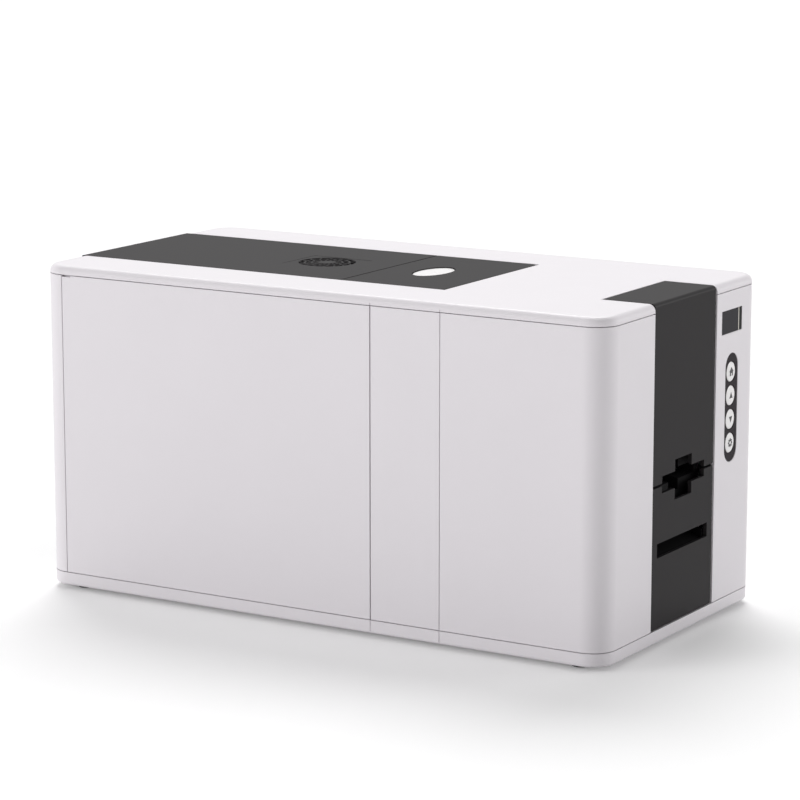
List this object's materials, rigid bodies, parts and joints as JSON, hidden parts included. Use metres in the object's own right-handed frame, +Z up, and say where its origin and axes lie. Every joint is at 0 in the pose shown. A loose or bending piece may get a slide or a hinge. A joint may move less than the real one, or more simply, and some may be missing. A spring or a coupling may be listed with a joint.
{
  "type": "id card printer",
  "caption": "Desktop id card printer with a hinged side door, two top lids, a tip-out front cover, round buttons and a card path of rollers, ribbon and print head.",
  "frame": {"origin": "on the surface that the feet stand on, below the middle of the housing", "axes": "+Z up, +Y from the front end with the card slots to the rear end, +X to the right seen from the front"},
  "size_m": [0.208, 0.41, 0.213],
  "materials": {
    "white_shell": "fine satin moulded plastic",
    "black_shell": "satin black moulded plastic",
    "dark_plastic": "matte moulded plastic",
    "grey_plastic": "matte moulded plastic",
    "bezel_plastic": "satin moulded plastic",
    "button_white": "smooth plastic",
    "display_glass": "dark tinted window",
    "circuit_board": "solder mask",
    "foot_rubber": "soft rubber",
    "roller_rubber": "ground rubber",
    "cleaning_rubber": "tacky rubber",
    "belt_rubber": "belt rubber",
    "ribbon_film": "coloured film",
    "screw_steel": "zinc plated",
    "shaft_steel": "ground steel",
    "sheet_steel": "galvanised sheet",
    "socket_metal": "plated steel",
    "motor_black": "black painted steel",
    "head_aluminium": "extruded aluminium"
  },
  "bodies": {
    "printer": {"base_tray": "white_shell", "rubber_feet": "foot_rubber", "case_screws": "screw_steel", "top_cover": "white_shell", "front_left_panel": "white_shell", "front_right_panel": "white_shell", "middle_left_panel": "white_shell", "middle_right_panel": "white_shell", "right_side_panel": "white_shell", "rear_left_corner": "white_shell", "rear_right_corner": "white_shell", "front_lower_panel": "black_shell", "card_exit_guide": "dark_plastic", "display_window": "display_glass", "button_bezel": "bezel_plastic", "control_board": "circuit_board", "hinge_pins": "screw_steel", "rear_panel": "black_shell", "power_inlet": "dark_plastic", "usb_socket": "socket_metal", "network_socket": "socket_metal", "chassis_pan": "sheet_steel", "left_frame_plate": "sheet_steel", "right_frame_plate": "sheet_steel", "frame_cross_bars": "shaft_steel", "transport_belt": "belt_rubber", "feed_motor": "motor_black", "card_magazine": "grey_plastic", "ribbon_cassette": "grey_plastic", "ribbon_motor": "motor_black", "flipper_motor": "motor_black", "lower_card_chute": "grey_plastic", "main_board": "circuit_board", "power_supply": "sheet_steel"},
    "side_door": {"side_door": "white_shell"},
    "front_cover": {"front_upper_cover": "black_shell"},
    "front_lid": {"front_lid": "black_shell"},
    "rear_lid": {"rear_lid": "black_shell", "vent_grille": "black_shell", "fan_frame": "dark_plastic"},
    "lid_pad": {"lid_push_pad": "white_shell"},
    "fan_rotor": {"fan_rotor": "dark_plastic"},
    "home_button": {"home_button": "button_white"},
    "up_button": {"up_button": "button_white"},
    "down_button": {"down_button": "button_white"},
    "menu_button": {"menu_button": "button_white"},
    "power_rocker": {"power_rocker": "dark_plastic"},
    "card_weight": {"card_weight": "grey_plastic"},
    "print_head": {"head_carriage": "dark_plastic", "print_head": "head_aluminium"},
    "pick_roller": {"pick_roller": "roller_rubber"},
    "feed_roller": {"feed_roller": "roller_rubber"},
    "platen_roller": {"platen_roller": "roller_rubber"},
    "flipper_feed_roller": {"flipper_feed_roller": "roller_rubber"},
    "exit_roller": {"exit_roller": "roller_rubber"},
    "cleaning_roller": {"cleaning_roller": "cleaning_rubber"},
    "motor_pulley": {"motor_pulley": "shaft_steel"},
    "ribbon_takeup_spool": {"ribbon_takeup_spool": "ribbon_film"},
    "ribbon_supply_spool": {"ribbon_supply_spool": "ribbon_film"},
    "flipper_drum": {"flipper_drum": "grey_plastic"}
  },
  "joints": [
    {"name": "side_door_hinge", "type": "hinge", "parent": "printer", "child": "side_door", "pos_m": [-0.101, -0.03555, 0.1], "axis": [0, 0, 1], "range_deg": [0, 110]},
    {"name": "front_cover_hinge", "type": "hinge", "parent": "printer", "child": "front_cover", "pos_m": [0, -0.2014, 0.1056], "axis": [1, 0, 0], "range_deg": [0, 60]},
    {"name": "front_lid_hinge", "type": "hinge", "parent": "printer", "child": "front_lid", "pos_m": [0, -0.0031, 0.21], "axis": [-1, 0, 0], "range_deg": [0, 80]},
    {"name": "rear_lid_hinge", "type": "hinge", "parent": "printer", "child": "rear_lid", "pos_m": [0, 0.197, 0.21], "axis": [-1, 0, 0], "range_deg": [0, 75]},
    {"name": "lid_pad_press", "type": "slide", "parent": "front_lid", "child": "lid_pad", "axis": [0, 0, -1], "range_m": [0, 0.0012], "stiffness_N_per_m": 400, "springref_m": -0.002},
    {"name": "fan_spin", "type": "hinge", "parent": "rear_lid", "child": "fan_rotor", "pos_m": [-0.0013, 0.052, 0.206], "axis": [0, 0, 1], "continuous": true},
    {"name": "home_button_press", "type": "slide", "parent": "printer", "child": "home_button", "axis": [0, 1, 0], "range_m": [0, 0.0008], "stiffness_N_per_m": 600, "springref_m": -0.001},
    {"name": "up_button_press", "type": "slide", "parent": "printer", "child": "up_button", "axis": [0, 1, 0], "range_m": [0, 0.0008], "stiffness_N_per_m": 600, "springref_m": -0.001},
    {"name": "down_button_press", "type": "slide", "parent": "printer", "child": "down_button", "axis": [0, 1, 0], "range_m": [0, 0.0008], "stiffness_N_per_m": 600, "springref_m": -0.001},
    {"name": "menu_button_press", "type": "slide", "parent": "printer", "child": "menu_button", "axis": [0, 1, 0], "range_m": [0, 0.0008], "stiffness_N_per_m": 600, "springref_m": -0.001},
    {"name": "power_rocker_tilt", "type": "hinge", "parent": "printer", "child": "power_rocker", "pos_m": [0.0166, 0.1971, 0.04], "axis": [1, 0, 0], "range_deg": [-8, 8]},
    {"name": "card_weight_slide", "type": "slide", "parent": "printer", "child": "card_weight", "axis": [0, 0, 1], "range_m": [0, 0.07]},
    {"name": "print_head_lift", "type": "slide", "parent": "printer", "child": "print_head", "axis": [0, 0, 1], "range_m": [0, 0.005]},
    {"name": "pick_roller_spin", "type": "hinge", "parent": "printer", "child": "pick_roller", "pos_m": [0, 0.113, 0.0948], "axis": [1, 0, 0], "continuous": true},
    {"name": "feed_roller_spin", "type": "hinge", "parent": "printer", "child": "feed_roller", "pos_m": [0, 0.084, 0.0948], "axis": [1, 0, 0], "continuous": true},
    {"name": "platen_roller_spin", "type": "hinge", "parent": "printer", "child": "platen_roller", "pos_m": [0, 0.025, 0.0948], "axis": [1, 0, 0], "continuous": true},
    {"name": "flipper_feed_roller_spin", "type": "hinge", "parent": "printer", "child": "flipper_feed_roller", "pos_m": [0, -0.062, 0.0948], "axis": [1, 0, 0], "continuous": true},
    {"name": "exit_roller_spin", "type": "hinge", "parent": "printer", "child": "exit_roller", "pos_m": [0, -0.178, 0.0948], "axis": [1, 0, 0], "continuous": true},
    {"name": "cleaning_roller_spin", "type": "hinge", "parent": "printer", "child": "cleaning_roller", "pos_m": [0, 0.084, 0.1078], "axis": [1, 0, 0], "continuous": true},
    {"name": "motor_pulley_spin", "type": "hinge", "parent": "printer", "child": "motor_pulley", "pos_m": [0, 0.025, 0.048], "axis": [1, 0, 0], "continuous": true},
    {"name": "ribbon_takeup_spool_spin", "type": "hinge", "parent": "printer", "child": "ribbon_takeup_spool", "pos_m": [0, -0.013, 0.1278], "axis": [1, 0, 0], "continuous": true},
    {"name": "ribbon_supply_spool_spin", "type": "hinge", "parent": "printer", "child": "ribbon_supply_spool", "pos_m": [0, 0.063, 0.1278], "axis": [1, 0, 0], "continuous": true},
    {"name": "flipper_drum_spin", "type": "hinge", "parent": "printer", "child": "flipper_drum", "pos_m": [0, -0.125, 0.10118], "axis": [1, 0, 0], "continuous": true}
  ],
  "couplings": [
    {"joint": "pick_roller_spin", "follows": "platen_roller_spin", "ratio": 1},
    {"joint": "feed_roller_spin", "follows": "platen_roller_spin", "ratio": 1},
    {"joint": "flipper_feed_roller_spin", "follows": "platen_roller_spin", "ratio": 1},
    {"joint": "exit_roller_spin", "follows": "platen_roller_spin", "ratio": 1},
    {"joint": "cleaning_roller_spin", "follows": "platen_roller_spin", "ratio": -1},
    {"joint": "motor_pulley_spin", "follows": "platen_roller_spin", "ratio": 1},
    {"joint": "ribbon_takeup_spool_spin", "follows": "ribbon_supply_spool_spin", "ratio": 1.6667}
  ]
}
